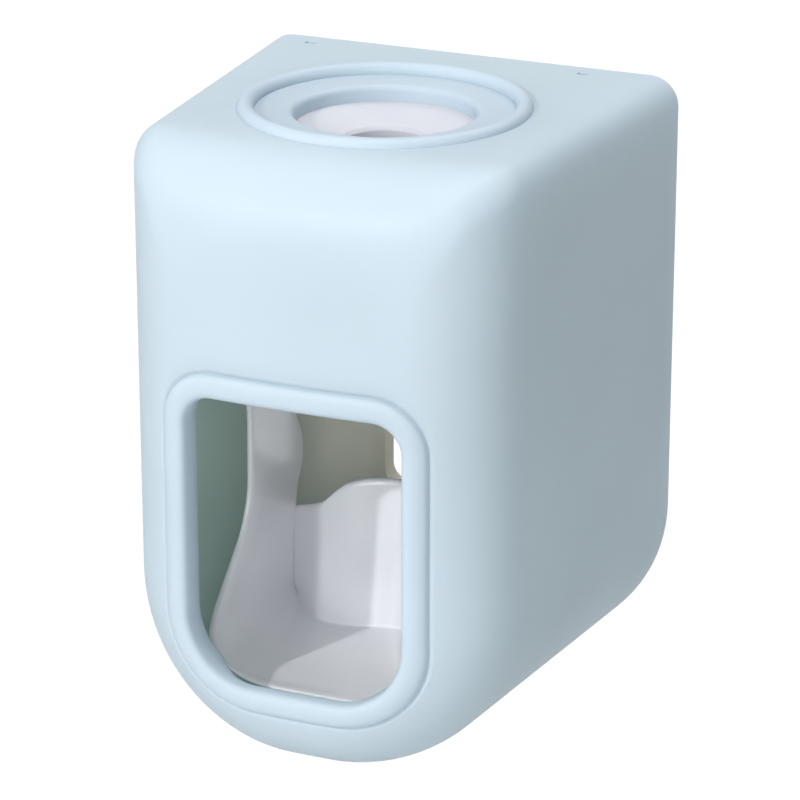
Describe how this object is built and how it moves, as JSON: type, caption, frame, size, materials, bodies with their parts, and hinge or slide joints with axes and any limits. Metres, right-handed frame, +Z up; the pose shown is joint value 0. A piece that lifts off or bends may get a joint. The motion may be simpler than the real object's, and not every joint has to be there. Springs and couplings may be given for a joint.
{
  "type": "toothpaste dispenser",
  "caption": "Wall toothpaste dispenser: a tube stands upside down in the top seal and a brush pushed against the swinging lever in the front window draws paste.",
  "frame": {"origin": "centre of the upper adhesive pad's back face, on the wall's plane", "axes": "+Y into the wall, +Z up, +X to the right as seen from the front; the front faces -Y"},
  "size_m": [0.07, 0.0693, 0.0989],
  "materials": {
    "casing_abs": "satin",
    "lever_abs": "gloss",
    "inner_plastic": "satin",
    "silicone": "matte",
    "steel": "satin",
    "foam_tape": "matte"
  },
  "bodies": {
    "housing": {"casing": "casing_abs", "back_cover": "casing_abs", "upper_wall_pad": "foam_tape", "lower_wall_pad": "foam_tape", "tube_seal": "silicone", "seal_support_ring": "inner_plastic", "core_frame": "inner_plastic", "frame_screws": "steel", "cover_screws": "steel", "pump_body": "inner_plastic", "pump_screws": "steel", "inlet_valve": "silicone", "outlet_valve": "silicone", "nozzle_collar": "inner_plastic", "barrel_cap": "inner_plastic", "return_spring": "steel", "pivot_pins": "steel"},
    "lever": {"push_lever": "lever_abs", "drive_pin": "steel"},
    "plunger": {"plunger": "inner_plastic", "plunger_seal": "silicone"}
  },
  "joints": [
    {"name": "lever_swing", "type": "hinge", "parent": "housing", "child": "lever", "pos_m": [0, -0.032, -0.016], "axis": [1, 0, 0], "range_deg": [0, 12], "stiffness_Nm_per_rad": 0.3, "springref_deg": -3.44},
    {"name": "plunger_slide", "type": "slide", "parent": "housing", "child": "plunger", "axis": [0, 0, 1], "range_m": [0, 0.0034], "deforming": ["return_spring"]}
  ],
  "couplings": [
    {"joint": "plunger_slide", "follows": "lever_swing", "m_per_rad": 0.016}
  ]
}
